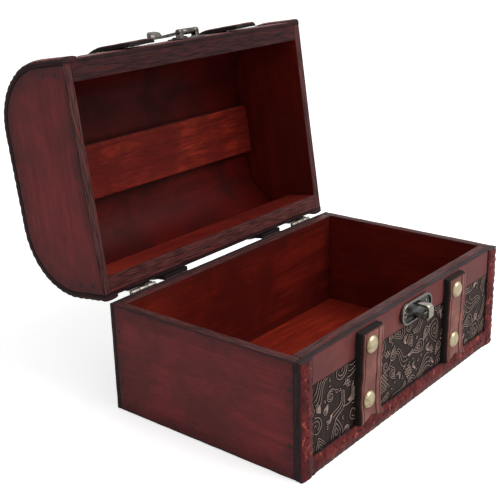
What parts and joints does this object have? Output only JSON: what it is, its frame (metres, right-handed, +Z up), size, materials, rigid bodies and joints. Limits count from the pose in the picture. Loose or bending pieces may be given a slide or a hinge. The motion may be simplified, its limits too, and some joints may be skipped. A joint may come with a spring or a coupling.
{
  "type": "treasure chest box",
  "caption": "Small keepsake chest with a hinged arched lid, leather-covered front, straps with domed rivets, and a hasp flap that folds over a padlock staple.",
  "frame": {"origin": "centre of the underside of the box", "axes": "+X to the right along the front, +Y from front to back, +Z up; the lid stands open and the hasp flap is folded back on it"},
  "size_m": [0.2206, 0.2352, 0.2129],
  "materials": {
    "panel_wood": "satin red-brown stain on plywood",
    "inner_wood": "satin red stain",
    "cover_wood": "dark stain",
    "trim_wood": "hammered and worn red-brown stain",
    "plain_leather": "smooth satin",
    "embossed_leather": "embossed scrolls, antiqued",
    "strap_core": "matt black edge",
    "brass": "pale polished",
    "latch_metal": "antique plate, darkened recesses",
    "hinge_steel": "dull plate",
    "nail_steel": "dark, stained over"
  },
  "bodies": {
    "base": {"base_back_board": "cover_wood", "base_back_panel": "inner_wood", "base_bottom_trim": "trim_wood", "base_embossed_leather": "embossed_leather", "base_floor": "inner_wood", "base_front_board": "cover_wood", "base_front_panel": "inner_wood", "base_leather_band": "plain_leather", "base_left_end": "panel_wood", "base_left_strap_core": "strap_core", "base_left_strap_face": "plain_leather", "base_left_trim": "trim_wood", "base_nails": "nail_steel", "base_right_end": "panel_wood", "base_right_strap_core": "strap_core", "base_right_strap_face": "plain_leather", "base_right_trim": "trim_wood", "base_rivets": "brass", "hinge_base_screws": "hinge_steel", "hinge_left_base_leaf": "hinge_steel", "hinge_left_pin": "hinge_steel", "hinge_right_base_leaf": "hinge_steel", "hinge_right_pin": "hinge_steel", "keeper_plate": "latch_metal", "keeper_screws": "latch_metal", "keeper_staple": "latch_metal"},
    "lid": {"hasp_pin": "latch_metal", "hasp_plate": "latch_metal", "hasp_screws": "latch_metal", "hinge_left_lid_leaf": "hinge_steel", "hinge_lid_screws": "hinge_steel", "hinge_right_lid_leaf": "hinge_steel", "lid_back_rail": "inner_wood", "lid_embossed_leather": "embossed_leather", "lid_front_rail": "inner_wood", "lid_leather_band": "plain_leather", "lid_left_end": "panel_wood", "lid_left_strap_core": "strap_core", "lid_left_strap_face": "plain_leather", "lid_left_trim": "trim_wood", "lid_nails": "nail_steel", "lid_right_end": "panel_wood", "lid_right_strap_core": "strap_core", "lid_right_strap_face": "plain_leather", "lid_right_trim": "trim_wood", "lid_rivets": "brass", "lid_skin": "cover_wood", "lid_top_slat": "inner_wood"},
    "flap": {"hasp_flap": "latch_metal"}
  },
  "joints": [
    {"name": "lid_hinge", "type": "hinge", "parent": "base", "child": "lid", "pos_m": [0, 0.0713, 0.06805], "axis": [1, 0, 0], "range_deg": [0, 98]},
    {"name": "hasp_hinge", "type": "hinge", "parent": "lid", "child": "flap", "pos_m": [0.0035, 0.10314, 0.21091], "axis": [1, 0, 0], "range_deg": [0, 185]}
  ]
}
